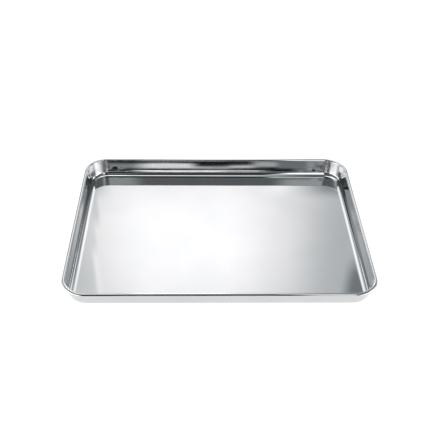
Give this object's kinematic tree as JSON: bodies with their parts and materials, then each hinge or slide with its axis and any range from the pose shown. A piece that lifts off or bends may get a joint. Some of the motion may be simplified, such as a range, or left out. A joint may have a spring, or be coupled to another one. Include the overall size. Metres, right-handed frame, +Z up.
{
  "type": "rectangular steel tray",
  "caption": "Shallow rectangular stainless-steel tray with a flat floor, rounded corners, leaning walls and a rim rolled round a wire, for counting and carrying small things.",
  "frame": {"origin": "centre of the flat underside, on the surface the tray stands on", "axes": "+X along the long side, +Y across towards the back long side, +Z up out of the open top"},
  "size_m": [0.4, 0.3, 0.026],
  "materials": {
    "polished_steel": "bright polished stainless steel, close to a mirror, with fine wiping marks",
    "drawn_wire": "dull drawn steel wire"
  },
  "bodies": {
    "root": {"tray_pan": "polished_steel", "rim_wire": "drawn_wire"}
  },
  "joints": []
}
